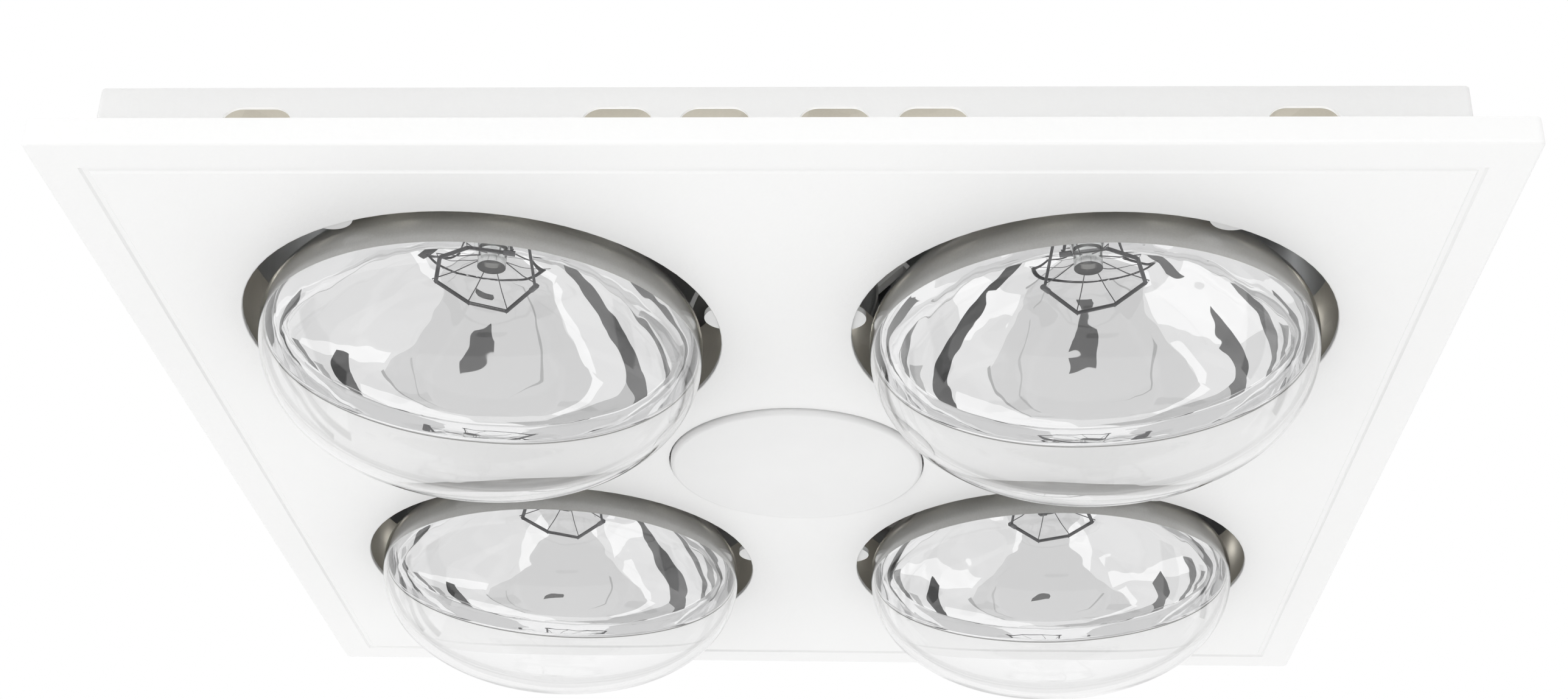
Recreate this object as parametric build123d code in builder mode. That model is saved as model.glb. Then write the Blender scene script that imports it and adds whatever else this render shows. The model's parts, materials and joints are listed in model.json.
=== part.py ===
from build123d import *
from math import cos, hypot, pi, radians, sin
import os

# Bathroom ceiling heater with four infrared lamps, a centre light and an exhaust fan.
# Millimetres, +Z up. The origin is the centre of the cut-out in the plane of the ceiling,
# so what shows in the room is below zero and what stands in the roof space is above it.

os.makedirs("parts", exist_ok=True)

# General fits
overrun = 5
face_gap = 0.3
running_gap = 0.05
screw_gap = 0.2

# Lamps: 125 mm reflector bulbs on a square, each in the middle of its hole
lamp_r = 63.2
lamp_gap = 5.1
hole_web = 37.4
lamp_hole_r = lamp_r + lamp_gap
lamp_spacing = 2 * lamp_hole_r + hole_web
lamp_half = lamp_spacing / 2

# Fascia: a pressed steel cover with a short rim that meets the ceiling
fascia_margin = 32.2
rim_height = 7.6
fascia_sheet = 1.2
fascia_corner_r = 2.2
fascia_edge_r = 1.0
groove_inset = 11.2
groove_width = 2.6
groove_depth = 0.6
groove_slope = 45
hole_edge_r = 0.4
fascia_width = lamp_spacing + 2 * (lamp_hole_r + fascia_margin)
face_z = -rim_height
back_z = face_z + fascia_sheet

# Lamp glass and its mirror coating
dome_depth = 39
dome_fullness = 2.2
dome_points = 8
shoulder_height = 109
equator_drop = 3
glass_wall = 1.0
coating_gap = 0.25
coating_thickness = 0.3
equator_z = face_z - equator_drop
shoulder_shares = [(0.990, 0.041), (0.949, 0.083), (0.791, 0.183), (0.633, 0.266), (0.498, 0.335),
                   (0.396, 0.413), (0.332, 0.514), (0.304, 0.642), (0.294, 0.826), (0.275, 0.936),
                   (0.209, 1.0)]
coated_points = 8

# Lamp cap, a screw cap 27 mm across
cap_r = 13.2
cap_length = 29
thread_pitch = 3.6
thread_turns = 5
thread_groove_r = 0.8
cap_tip_r = 4.8
cap_tip_height = 2.4
cap_cone_height = 4.2
cap_z = equator_z + shoulder_height
cap_end_z = cap_z + cap_length

# Filament and the glass stem that holds it
filament_r = 16
filament_height = 22
filament_corners = 8
coil_r = 0.45
corner_bead_r = 0.6
support_r = 0.25
lead_r = 0.4
lead_height = 58
stem_r = 5
stem_flare_length = 14
button_r = 4.2
button_height = 26
button_thickness = 5
stem_gap = 0.25

# Lampholders: ceramic bodies with a brass screw shell and a sprung centre contact
holder_r = 20
holder_base_r = 17
holder_mouth_lift = 3
holder_body_height = 29
holder_base_height = 14
holder_edge_r = 1.5
shell_wall = 0.5
shell_length = 22
shell_lift = 5
pocket_r = 8
pocket_depth = 7
contact_r = 5
contact_thickness = 0.8
contact_post_r = 1.5
holder_wire_hole_r = 1.8
holder_wire_hole_place = 5
holder_mouth_z = cap_z + holder_mouth_lift
holder_step_z = holder_mouth_z + holder_body_height
holder_top_z = holder_step_z + holder_base_height
shell_r = cap_r + face_gap
pocket_z = holder_mouth_z + shell_lift + shell_length - holder_mouth_lift

# Mounting frame: white folded steel with a ceiling flange, slotted walls and a top flange
fascia_overlap = 12.4
frame_height = 17.6
frame_sheet = 1.0
frame_corner_r = 1.5
flange_gap = 1.8
flange_lip = 1.1
slot_length = 18.3
slot_width = 10
slot_top_margin = 6
slot_first_place = 15.2
slot_pitch = 24.9
slot_end_inset = 42.1
ceiling_hole_r = 2.25
ceiling_hole_inset = 35.1
frame_width = fascia_width - 2 * fascia_overlap
frame_inner = frame_width / 2 - frame_sheet
ceiling_flange = fascia_overlap - fascia_sheet - flange_gap
slot_places = [slot_first_place, slot_first_place + slot_pitch, frame_width / 2 - slot_end_inset]
slot_z = frame_height - slot_top_margin - slot_width / 2
ceiling_hole_place = frame_width / 2 - ceiling_hole_inset

# Fascia clips: bowed leaf springs that grip the frame from inside
clip_sheet = 0.6
clip_width = 16
clip_foot = 12
clip_height = 16
clip_bow_share = 0.5
clip_lean = 2.2

# Centring tabs: white tongues on the back of the fascia at the lamp holes
tab_width = 12.8
tab_thickness = 1.6
tab_reach = 3.7
tab_foot = 14
tab_angles = [-116, -7]

# Heat shield: a galvanised floor with a lipped collar round each lamp
shield_sheet = 0.8
shield_edge_gap = 0.5
collar_gap = 2.7
collar_lift = 2.4
collar_lip = 3
shield_wire_hole_r = 8
collar_r = lamp_hole_r + collar_gap
shield_top_z = frame_height - frame_sheet
shield_z = shield_top_z - shield_sheet

# Housing: galvanised walls with a foot flange, and a lid with a turned-down rim.
# It is just tall enough for a lamp, its holder and the bridge that carries them.
housing_inset = 10.1
housing_sheet = 0.8
foot_gap = 0.6
bridge_rise = 12.6
lid_sheet = 0.8
lid_rim = 10
lid_gap = 0.2
bead_end_margin = 27.7
bead_width = 12
bead_inset = 47
bead_pitch = 66
lid_bead_margin = 50
lid_bead_inset = 25
lid_wire_hole_r = 9
wall_r = frame_width / 2 - housing_inset
housing_width = 2 * wall_r
foot_flange = housing_inset - frame_sheet - foot_gap
top_flange = housing_inset + housing_sheet + flange_lip
housing_z = frame_height
housing_top_z = holder_top_z + bridge_rise
housing_height = housing_top_z - housing_z
bead_z = housing_z + housing_height / 2
bead_length = housing_height - 2 * bead_end_margin
bead_place = wall_r - bead_inset
bead_places = [-bead_place, bead_pitch - bead_place, bead_place - bead_pitch, bead_place]
rear_bead_places = [-bead_place, bead_place]
lid_bead_length = housing_width - 2 * lid_bead_margin
lid_bead_places = [lid_bead_inset - wall_r, wall_r - lid_bead_inset]

# Screws
screw_r = 2
screw_head_r = 3.6
screw_head_height = 2
screw_length = 8
screw_head_edge_r = 0.7
recess_width = 0.9
recess_length = 3.8
recess_depth = 1.1
small_screw_r = 1.5
small_screw_head_r = 2.8
body_screw_inset = 45
lid_screw_inset = 15
lid_screw_drop = 5
body_screw_line = wall_r + screw_head_r
body_screw_places = [body_screw_inset - wall_r, 0, wall_r - body_screw_inset]
lid_screw_place = wall_r - lid_screw_inset
lid_screw_places = [-lid_screw_place, -lid_screw_place / 2, lid_screw_place / 2, lid_screw_place]

# Lamp bridges: channels under the lid, each with two lampholders
bridge_sheet = 1.0
bridge_side_gap = 5
bridge_foot = 10
bridge_overhang = 33
bridge_wire_hole_r = 7.5
bridge_screw_inset = 20
holder_screw_offset = 11
bridge_web = 2 * (holder_base_r + bridge_side_gap)
bridge_length = lamp_spacing + 2 * bridge_overhang
bridge_screw_place = bridge_length / 2 - bridge_screw_inset

# Centre light
light_r = 40.5
light_hole_gap = 0.4
light_proud = 1.7
light_edge_r = 1.5
diffuser_wall = 1.8
diffuser_lift = 8.8
tray_wall = 3.2
tray_rim_z = 1
tray_floor = 3.8
board_gap = 3.5
board_thickness = 1.6
chip_width = 3
chip_height = 0.8
chip_inner_ring_r = 14
chip_ring_inset = 8
light_screw_inset = 5
light_screws_count = 3
driver_width = 42
driver_length = 100
driver_height = 23
driver_ear = 9
driver_ear_thickness = 2
driver_edge_r = 2
driver_end_gap = 19.2
board_r = light_r - board_gap
chip_rings = {6: chip_inner_ring_r, 12: board_r - chip_ring_inset}
light_screw_circle_r = board_r - light_screw_inset
driver_y = driver_end_gap + driver_ear + driver_length / 2 + housing_sheet - wall_r

# Exhaust fan, on an axis along Y behind the lamps' necks. It hangs on the rear wall.
fan_drop = 65
duct_bore_r = 47.4
ring_wall = 1.8
ring_length = 66.2
ring_flange_margin = 4.6
ring_flange_thickness = 2.5
clamp_wall = 2.5
clamp_length = 8
arm_width = 6
arm_length = 6
arm_count = 4
motor_r = 26
motor_case_wall = 1.2
motor_lead = 36
motor_length = 46
motor_edge_r = 2
shaft_r = 3
shaft_overhang = 4
shaft_tip = 2
rotor_r = 14
rotor_length = 22
stator_length = 20
winding_length = 6
winding_wall = 2.4
bearing_r = 8
bearing_width = 5
impeller_gap = 4
impeller_width = 20
blade_tip_gap = 1.2
hub_r = 16
hub_edge_r = 3
hub_hollow_wall = 2.5
hub_boss_r = 6
blade_count = 7
blade_thickness = 1.6
root_chord = 20
tip_chord = 30
root_pitch = 55
tip_pitch = 28
fan_z = housing_top_z - fan_drop
ring_end_y = wall_r - housing_sheet
ring_start_y = ring_end_y - ring_length
ring_flange_width = 2 * (duct_bore_r + ring_flange_margin)
motor_start_y = ring_start_y - motor_lead
motor_end_y = motor_start_y + motor_length
impeller_y = motor_end_y + impeller_gap
impeller_r = duct_bore_r - blade_tip_gap
shaft_end_y = impeller_y + impeller_width + shaft_tip

# Duct spigot and its back-draft flap
spigot_wall = 1.6
spigot_length = 60
spigot_flange_thickness = 2.5
spigot_edge_r = 0.6
spigot_screw_inset = 7
flap_setback = 17
flap_gap = 0.8
flap_thickness = 1.2
flap_pivot_lift = 4
flap_pin_r = 1.5
knuckle_r = 2.6
knuckle_inset = 1.9
seat_width = 2.8
seat_thickness = 1.5
seat_clearance = 4
pin_inset = 0.4
spigot_screw_place = ring_flange_width / 2 - spigot_screw_inset
flap_y = wall_r + flap_setback

# Terminal box on the lid
box_length = 90
box_width = 56
box_height = 22
box_wall = 2
box_edge_r = 2
cover_thickness = 2
cover_lip = 3
cover_screw_inset = 7
cover_post_r = 4
block_ways = 5
way_width = 10
block_width = 20
block_height = 13
terminal_screw_r = 2
terminal_screw_spread = 6
terminal_sink = 3
gland_r = 11
gland_thread_r = 6.6
gland_bore_r = 4.6
gland_body_length = 14
gland_nut_r = 9.3
gland_nut_length = 4
gland_dome_r = 9
gland_dome_edge_r = 2
gland_place_share = 0.5
box_z = housing_top_z + lid_sheet
cover_screw_place = box_length / 2 - cover_screw_inset

lamp_places = {1: (-lamp_half, -lamp_half), 2: (lamp_half, -lamp_half),
               3: (-lamp_half, lamp_half), 4: (lamp_half, lamp_half)}
side_turns = [0, 90, 180, 270]


def keep(piece, name):
    piece.part.label = name
    export_step(piece.part, f"parts/{name}.step")


def across(y):
    # A plane square to the fan's axis, with local y up.
    return Plane(origin=(0, y, fan_z), x_dir=(-1, 0, 0), z_dir=(0, 1, 0))


def side_plane(turn, along, out, z):
    # A plane on one side of the unit: local x runs along the side, local y up, local z outward.
    a = radians(turn)
    origin = (out * sin(a) + along * cos(a), -out * cos(a) + along * sin(a), z)
    return Plane(origin=origin, x_dir=(cos(a), sin(a), 0), z_dir=(sin(a), -cos(a), 0))


def cross_head_screw(plane, radius, head_r, length):
    # The plane lies under the head, with its z pointing out through the head.
    with BuildPart() as screw:
        with BuildSketch(plane):
            Circle(head_r)
        extrude(amount=screw_head_height)
        rim = screw.edges().filter_by(GeomType.CIRCLE)
        top = [e for e in rim if abs(plane.to_local_coords(e.center()).Z - screw_head_height) < screw_gap]
        fillet(top, radius=screw_head_edge_r)
        with BuildSketch(plane):
            Circle(radius)
        extrude(amount=-length)
        with BuildSketch(plane.offset(screw_head_height)):
            Rectangle(recess_length, recess_width)
            Rectangle(recess_width, recess_length)
        extrude(amount=-recess_depth, mode=Mode.SUBTRACT)
    return screw.part


def dome_outline(inset):
    # Quarter outline of the lamp's front, from its lowest point to its widest.
    points = []
    for step in range(dome_points + 1):
        turn = pi / 2 * step / dome_points
        across_r = (lamp_r - inset) * sin(turn) ** (2 / dome_fullness)
        down = (dome_depth - inset) * cos(turn) ** (2 / dome_fullness)
        points.append((across_r, -down))
    return points


def shoulder_outline(inset, count):
    return [(lamp_r * r - inset, shoulder_height * h) for r, h in shoulder_shares[:count]]


# Fascia

with BuildPart() as groove_tool:
    outer_groove = fascia_width - 2 * groove_inset
    with BuildSketch(Plane.XY.offset(face_z)):
        Rectangle(outer_groove, outer_groove)
    extrude(amount=groove_depth, taper=groove_slope)
    with BuildSketch(Plane.XY.offset(face_z)):
        Rectangle(outer_groove - 2 * groove_width, outer_groove - 2 * groove_width)
    extrude(amount=groove_depth, taper=-groove_slope, mode=Mode.SUBTRACT)

with BuildPart() as fascia:
    with BuildSketch(Plane.XY.offset(face_z)):
        RectangleRounded(fascia_width, fascia_width, fascia_corner_r)
    extrude(amount=rim_height)
    fillet(fascia.faces().sort_by(Axis.Z)[0].edges(), radius=fascia_edge_r)
    inner_width = fascia_width - 2 * fascia_sheet
    with BuildSketch(Plane.XY.offset(back_z)):
        RectangleRounded(inner_width, inner_width, fascia_corner_r - fascia_sheet)
    extrude(amount=rim_height, mode=Mode.SUBTRACT)
    with BuildSketch(Plane.XY.offset(face_z)):
        with GridLocations(lamp_spacing, lamp_spacing, 2, 2):
            Circle(lamp_hole_r)
        Circle(light_r + light_hole_gap)
    extrude(amount=fascia_sheet, mode=Mode.SUBTRACT)
    front_edges = fascia.edges().filter_by(GeomType.CIRCLE).group_by(Axis.Z)[0]
    fillet([e for e in front_edges if e.radius > light_r], radius=hole_edge_r)
    add(groove_tool.part, mode=Mode.SUBTRACT)
keep(fascia, "fascia")

with BuildPart() as centring_tabs:
    for x, y in lamp_places.values():
        for angle in tab_angles:
            turn = radians(angle if x < 0 else 180 - angle)
            inner_end = lamp_hole_r - tab_reach
            tongue = inner_end + tab_width / 2
            foot = lamp_hole_r + tab_foot
            tab_plane = Plane(origin=(x, y, back_z), x_dir=(cos(turn), sin(turn), 0), z_dir=(0, 0, 1))
            with BuildSketch(tab_plane):
                with Locations((tongue, 0)):
                    Circle(tab_width / 2)
                with Locations(((tongue + foot) / 2, 0)):
                    Rectangle(foot - tongue, tab_width)
            extrude(amount=tab_thickness)
keep(centring_tabs, "centring_tabs")

with BuildPart() as fascia_clips:
    crest = frame_inner - face_gap - clip_sheet / 2
    for turn in side_turns:
        for place in (-lamp_half, lamp_half):
            # Local x runs outward from the middle of the unit, local y up.
            a = radians(turn)
            along = place + clip_width / 2
            clip_plane = Plane(origin=(along * cos(a), along * sin(a), back_z),
                               x_dir=(sin(a), -cos(a), 0), z_dir=(-cos(a), -sin(a), 0))
            with BuildSketch(clip_plane):
                with BuildLine():
                    bend = crest - clip_lean
                    Polyline((bend - clip_foot, clip_sheet / 2), (bend, clip_sheet / 2),
                             (crest, clip_height * clip_bow_share), (bend, clip_height))
                trace(line_width=clip_sheet)
            extrude(amount=clip_width)
keep(fascia_clips, "fascia_clips")

# Mounting frame, heat shield and collars

with BuildPart() as mounting_frame:
    with BuildSketch(Plane.XY.offset(-frame_sheet)):
        RectangleRounded(frame_width, frame_width, frame_corner_r)
        Rectangle(2 * frame_inner, 2 * frame_inner, mode=Mode.SUBTRACT)
    extrude(amount=frame_height + frame_sheet)
    with BuildSketch(Plane.XY.offset(-frame_sheet)):
        RectangleRounded(frame_width + 2 * ceiling_flange, frame_width + 2 * ceiling_flange, frame_corner_r)
        Rectangle(2 * frame_inner, 2 * frame_inner, mode=Mode.SUBTRACT)
        with GridLocations(2 * ceiling_hole_place, frame_width + ceiling_flange, 2, 2):
            Circle(ceiling_hole_r, mode=Mode.SUBTRACT)
    extrude(amount=frame_sheet)
    with BuildSketch(Plane.XY.offset(frame_height)):
        Rectangle(2 * frame_inner, 2 * frame_inner)
        Rectangle(frame_width - 2 * top_flange, frame_width - 2 * top_flange, mode=Mode.SUBTRACT)
    extrude(amount=-frame_sheet)
    for turn in side_turns:
        for place in body_screw_places:
            with BuildSketch(Plane(side_plane(turn, place, body_screw_line, frame_height).origin)):
                Circle(screw_r + screw_gap)
            extrude(amount=-frame_sheet, mode=Mode.SUBTRACT)
    for turn in (0, 180):
        for place in slot_places:
            with BuildSketch(side_plane(turn, 0, frame_inner, slot_z)):
                with Locations((-place, 0), (place, 0)):
                    SlotOverall(slot_length, slot_width)
            extrude(amount=frame_sheet, mode=Mode.SUBTRACT)
keep(mounting_frame, "mounting_frame")

with BuildPart() as heat_shield:
    shield_width = 2 * (frame_inner - shield_edge_gap)
    with BuildSketch(Plane.XY.offset(shield_z)):
        Rectangle(shield_width, shield_width)
    extrude(amount=shield_sheet)
    with BuildSketch(Plane.XY.offset(shield_z)):
        with GridLocations(lamp_spacing, lamp_spacing, 2, 2):
            Circle(collar_r + shield_sheet + face_gap)
        Circle(shield_wire_hole_r)
        with PolarLocations(light_screw_circle_r, light_screws_count):
            Circle(small_screw_r + screw_gap)
    extrude(amount=shield_sheet, mode=Mode.SUBTRACT)
    for turn in side_turns:
        for place in body_screw_places:
            with BuildSketch(Plane(side_plane(turn, place, body_screw_line, shield_z).origin)):
                Circle(screw_r + screw_gap)
            extrude(amount=shield_sheet, mode=Mode.SUBTRACT)
keep(heat_shield, "heat_shield")

with BuildPart() as shield_collars:
    collar_z = back_z + collar_lift
    with BuildSketch(Plane.XY.offset(collar_z)):
        with GridLocations(lamp_spacing, lamp_spacing, 2, 2):
            Circle(collar_r + shield_sheet)
    extrude(amount=shield_top_z - collar_z)
    with BuildSketch(Plane.XY.offset(shield_top_z)):
        with GridLocations(lamp_spacing, lamp_spacing, 2, 2):
            Circle(collar_r + shield_sheet + collar_lip)
    extrude(amount=shield_sheet)
    with BuildSketch(Plane.XY.offset(collar_z)):
        with GridLocations(lamp_spacing, lamp_spacing, 2, 2):
            Circle(collar_r)
    extrude(amount=shield_top_z + shield_sheet - collar_z, mode=Mode.SUBTRACT)
keep(shield_collars, "shield_collars")

# Housing walls and lid

with BuildPart() as housing_walls:
    with BuildSketch(Plane.XY.offset(housing_z)):
        Rectangle(housing_width, housing_width)
        Rectangle(housing_width - 2 * housing_sheet, housing_width - 2 * housing_sheet, mode=Mode.SUBTRACT)
    extrude(amount=housing_height)
    with BuildSketch(Plane.XY.offset(housing_z)):
        Rectangle(housing_width + 2 * foot_flange, housing_width + 2 * foot_flange)
        Rectangle(housing_width - 2 * housing_sheet, housing_width - 2 * housing_sheet, mode=Mode.SUBTRACT)
    extrude(amount=housing_sheet)
    for turn in side_turns:
        beads = rear_bead_places if turn == 180 else bead_places
        with BuildSketch(side_plane(turn, 0, wall_r, bead_z)):
            with Locations([(place, 0) for place in beads]):
                SlotOverall(bead_length, bead_width, rotation=90)
        extrude(amount=housing_sheet)
        with BuildSketch(side_plane(turn, 0, wall_r - housing_sheet, bead_z)):
            with Locations([(place, 0) for place in beads]):
                SlotOverall(bead_length - 2 * housing_sheet, bead_width - 2 * housing_sheet, rotation=90)
        extrude(amount=housing_sheet, mode=Mode.SUBTRACT)
        for place in body_screw_places:
            with BuildSketch(Plane(side_plane(turn, place, body_screw_line, housing_z).origin)):
                Circle(screw_r + screw_gap)
            extrude(amount=housing_sheet, mode=Mode.SUBTRACT)
        with BuildSketch(side_plane(turn, 0, wall_r - housing_sheet, housing_top_z - lid_screw_drop)):
            with Locations([(place, 0) for place in lid_screw_places]):
                Circle(screw_r + screw_gap)
        extrude(amount=housing_sheet, mode=Mode.SUBTRACT)
    with BuildSketch(across(wall_r)):
        Circle(duct_bore_r)
        with GridLocations(2 * spigot_screw_place, 2 * spigot_screw_place, 2, 2):
            Circle(screw_r + screw_gap)
    extrude(amount=-housing_sheet, mode=Mode.SUBTRACT)
keep(housing_walls, "housing_walls")

bridge_screw_lines = [lamp_half - bridge_web / 2 - bridge_foot / 2, lamp_half + bridge_web / 2 + bridge_foot / 2]
bridge_screw_points = [(side * line, end * bridge_screw_place, box_z)
                       for side in (-1, 1) for line in bridge_screw_lines for end in (-1, 1)]

with BuildPart() as housing_lid:
    rim_width = housing_width + 2 * (lid_gap + lid_sheet)
    with BuildSketch(Plane.XY.offset(housing_top_z - lid_rim)):
        Rectangle(rim_width, rim_width)
    extrude(amount=lid_rim + lid_sheet)
    with BuildSketch(Plane.XY.offset(housing_top_z - lid_rim)):
        Rectangle(rim_width - 2 * lid_sheet, rim_width - 2 * lid_sheet)
    extrude(amount=lid_rim, mode=Mode.SUBTRACT)
    with BuildSketch(Plane.XY.offset(box_z)):
        with Locations([(place, 0) for place in lid_bead_places]):
            SlotOverall(lid_bead_length, bead_width, rotation=90)
    extrude(amount=lid_sheet)
    with BuildSketch(Plane.XY.offset(housing_top_z)):
        with Locations([(place, 0) for place in lid_bead_places]):
            SlotOverall(lid_bead_length - 2 * lid_sheet, bead_width - 2 * lid_sheet, rotation=90)
    extrude(amount=lid_sheet, mode=Mode.SUBTRACT)
    with BuildSketch(Plane.XY.offset(housing_top_z)):
        Circle(lid_wire_hole_r)
        with Locations([(x, y) for x, y, z in bridge_screw_points]):
            Circle(screw_r + screw_gap)
    extrude(amount=lid_sheet, mode=Mode.SUBTRACT)
    for turn in side_turns:
        with BuildSketch(side_plane(turn, 0, wall_r, housing_top_z - lid_screw_drop)):
            with Locations([(place, 0) for place in lid_screw_places]):
                Circle(screw_r + screw_gap)
        extrude(amount=lid_gap + lid_sheet, mode=Mode.SUBTRACT)
keep(housing_lid, "housing_lid")

body_screw_planes = [Plane(origin=side_plane(turn, place, body_screw_line, shield_z).origin, z_dir=(0, 0, -1))
                     for turn in side_turns for place in body_screw_places]
lid_screw_planes = [side_plane(turn, place, wall_r + lid_gap + lid_sheet, housing_top_z - lid_screw_drop)
                    for turn in side_turns for place in lid_screw_places]
lid_screw_planes += [Plane(origin=point, z_dir=(0, 0, 1)) for point in bridge_screw_points]
housing_screw_shapes = [cross_head_screw(p, screw_r, screw_head_r, screw_length)
                        for p in body_screw_planes + lid_screw_planes]
with BuildPart() as housing_screws:
    add(housing_screw_shapes)
keep(housing_screws, "housing_screws")

# Lamp bridges

holder_screw_points = [(x, y + side * holder_screw_offset, holder_top_z + bridge_sheet)
                       for x, y in lamp_places.values() for side in (-1, 1)]

for name, side in (("bridge_left", -1), ("bridge_right", 1)):
    with BuildPart() as bridge:
        x = side * lamp_half
        with BuildSketch(Plane(origin=(x, -bridge_length / 2, holder_top_z), x_dir=(1, 0, 0), z_dir=(0, -1, 0))):
            with Locations((0, bridge_sheet / 2)):
                Rectangle(bridge_web, bridge_sheet)
            for edge in (-1, 1):
                with Locations((edge * (bridge_web - bridge_sheet) / 2, bridge_rise / 2)):
                    Rectangle(bridge_sheet, bridge_rise)
                with Locations((edge * (bridge_web + bridge_foot) / 2, bridge_rise - bridge_sheet / 2)):
                    Rectangle(bridge_foot, bridge_sheet)
        extrude(amount=-bridge_length)
        with BuildSketch(Plane.XY.offset(holder_top_z)):
            with Locations((x, -lamp_half), (x, lamp_half)):
                Circle(bridge_wire_hole_r)
            with Locations([(px, py) for px, py, pz in holder_screw_points if px * side > 0]):
                Circle(small_screw_r + screw_gap)
        extrude(amount=bridge_sheet, mode=Mode.SUBTRACT)
        with BuildSketch(Plane.XY.offset(housing_top_z)):
            with Locations([(px, py) for px, py, pz in bridge_screw_points if px * side > 0]):
                Circle(screw_r + screw_gap)
        extrude(amount=-bridge_sheet, mode=Mode.SUBTRACT)
    keep(bridge, name)

holder_screw_shapes = [cross_head_screw(Plane(origin=point, z_dir=(0, 0, 1)), small_screw_r,
                                        small_screw_head_r, screw_length)
                       for point in holder_screw_points]
with BuildPart() as holder_screws:
    add(holder_screw_shapes)
keep(holder_screws, "holder_screws")

# Lampholders, their screw shells and centre contacts

for number, place in lamp_places.items():
    with BuildPart() as holder:
        with BuildSketch(Plane(origin=(place[0], place[1], holder_mouth_z))):
            Circle(holder_r)
        extrude(amount=holder_body_height)
        with BuildSketch(Plane(origin=(place[0], place[1], holder_step_z))):
            Circle(holder_base_r)
        extrude(amount=holder_base_height)
        fillet(holder.edges().filter_by(GeomType.CIRCLE).group_by(Axis.Z)[0], radius=holder_edge_r)
        with BuildSketch(Plane(origin=(place[0], place[1], holder_mouth_z))):
            Circle(shell_r + shell_wall)
        extrude(amount=pocket_z - holder_mouth_z, mode=Mode.SUBTRACT)
        with BuildSketch(Plane(origin=(place[0], place[1], pocket_z))):
            Circle(pocket_r)
        extrude(amount=pocket_depth, mode=Mode.SUBTRACT)
        with BuildSketch(Plane(origin=(place[0], place[1], holder_top_z))):
            with Locations((0, -holder_screw_offset), (0, holder_screw_offset)):
                Circle(small_screw_r + screw_gap)
        extrude(amount=bridge_sheet - screw_length, mode=Mode.SUBTRACT)
        with BuildSketch(Plane(origin=(place[0], place[1], holder_top_z))):
            with Locations((-holder_wire_hole_place, 0), (holder_wire_hole_place, 0)):
                Circle(holder_wire_hole_r)
        extrude(amount=pocket_z - holder_top_z, mode=Mode.SUBTRACT)
    keep(holder, f"lampholder_{number}")

with BuildPart() as socket_shells:
    with BuildSketch(Plane.XY.offset(holder_mouth_z + shell_lift - holder_mouth_lift)):
        with GridLocations(lamp_spacing, lamp_spacing, 2, 2):
            Circle(shell_r + shell_wall)
            Circle(shell_r, mode=Mode.SUBTRACT)
    extrude(amount=shell_length)
keep(socket_shells, "socket_shells")

with BuildPart() as centre_contacts:
    contact_z = cap_end_z + face_gap
    with BuildSketch(Plane.XY.offset(contact_z)):
        with GridLocations(lamp_spacing, lamp_spacing, 2, 2):
            Circle(contact_r)
    extrude(amount=contact_thickness)
    with BuildSketch(Plane.XY.offset(contact_z + contact_thickness)):
        with GridLocations(lamp_spacing, lamp_spacing, 2, 2):
            Circle(contact_post_r)
    extrude(amount=pocket_z + pocket_depth - contact_z - contact_thickness)
keep(centre_contacts, "centre_contacts")

# Infrared lamps: each piece is formed once on the middle axis and then placed four times

lamp_plane = Plane(origin=(0, 0, equator_z), x_dir=(1, 0, 0), z_dir=(0, -1, 0))

with BuildPart() as glass:
    with BuildSketch(lamp_plane):
        with BuildLine():
            neck = len(shoulder_shares)
            outer_skin = Spline(dome_outline(0) + shoulder_outline(0, neck))
            inner_skin = Spline(dome_outline(glass_wall) + shoulder_outline(glass_wall, neck))
            Line(outer_skin @ 0, inner_skin @ 0)
            Line(outer_skin @ 1, inner_skin @ 1)
        make_face()
    revolve(axis=Axis.Z)

with BuildPart() as reflector:
    with BuildSketch(lamp_plane):
        with BuildLine():
            skin = glass_wall + coating_gap
            outer_skin = Spline(shoulder_outline(skin, coated_points))
            inner_skin = Spline(shoulder_outline(skin + coating_thickness, coated_points))
            Line(outer_skin @ 0, inner_skin @ 0)
            Line(outer_skin @ 1, inner_skin @ 1)
        make_face()
    revolve(axis=Axis.Z)

with BuildPart() as stem:
    with BuildSketch(lamp_plane):
        with BuildLine():
            button_top = button_height + button_thickness
            flare_r, flare_end = shoulder_outline(glass_wall + face_gap, neck)[-2]
            Polyline((0, button_height), (button_r, button_height), (button_r, button_top),
                     (stem_r, button_top + stem_r), (stem_r, flare_end - stem_flare_length),
                     (flare_r, flare_end), (0, flare_end), (0, button_height))
        make_face()
    revolve(axis=Axis.Z)

corners = []
for corner in range(filament_corners):
    turn = 2 * pi * (corner + 1 / 2) / filament_corners + pi / 2
    corners.append(Vector(filament_r * cos(turn), filament_r * sin(turn), equator_z + filament_height))
wires = [(start, end, coil_r) for start, end in zip(corners, corners[1:])]
for corner in corners:
    outward = Vector(corner.X, corner.Y, 0).normalized()
    root = Vector(0, 0, equator_z + button_height + button_thickness / 2) + outward * (button_r + stem_gap)
    wires.append((root, corner, support_r))
for corner in (corners[0], corners[-1]):
    outward = Vector(corner.X, corner.Y, 0).normalized()
    root = Vector(0, 0, equator_z + lead_height) + outward * (stem_r + lead_r + stem_gap)
    wires.append((root, corner, lead_r))

with BuildPart() as filament:
    for start, end, wire_r in wires:
        with BuildSketch(Plane(origin=start, z_dir=end - start)):
            Circle(wire_r)
        extrude(amount=(end - start).length)
    with Locations(*corners):
        Sphere(corner_bead_r)

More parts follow.
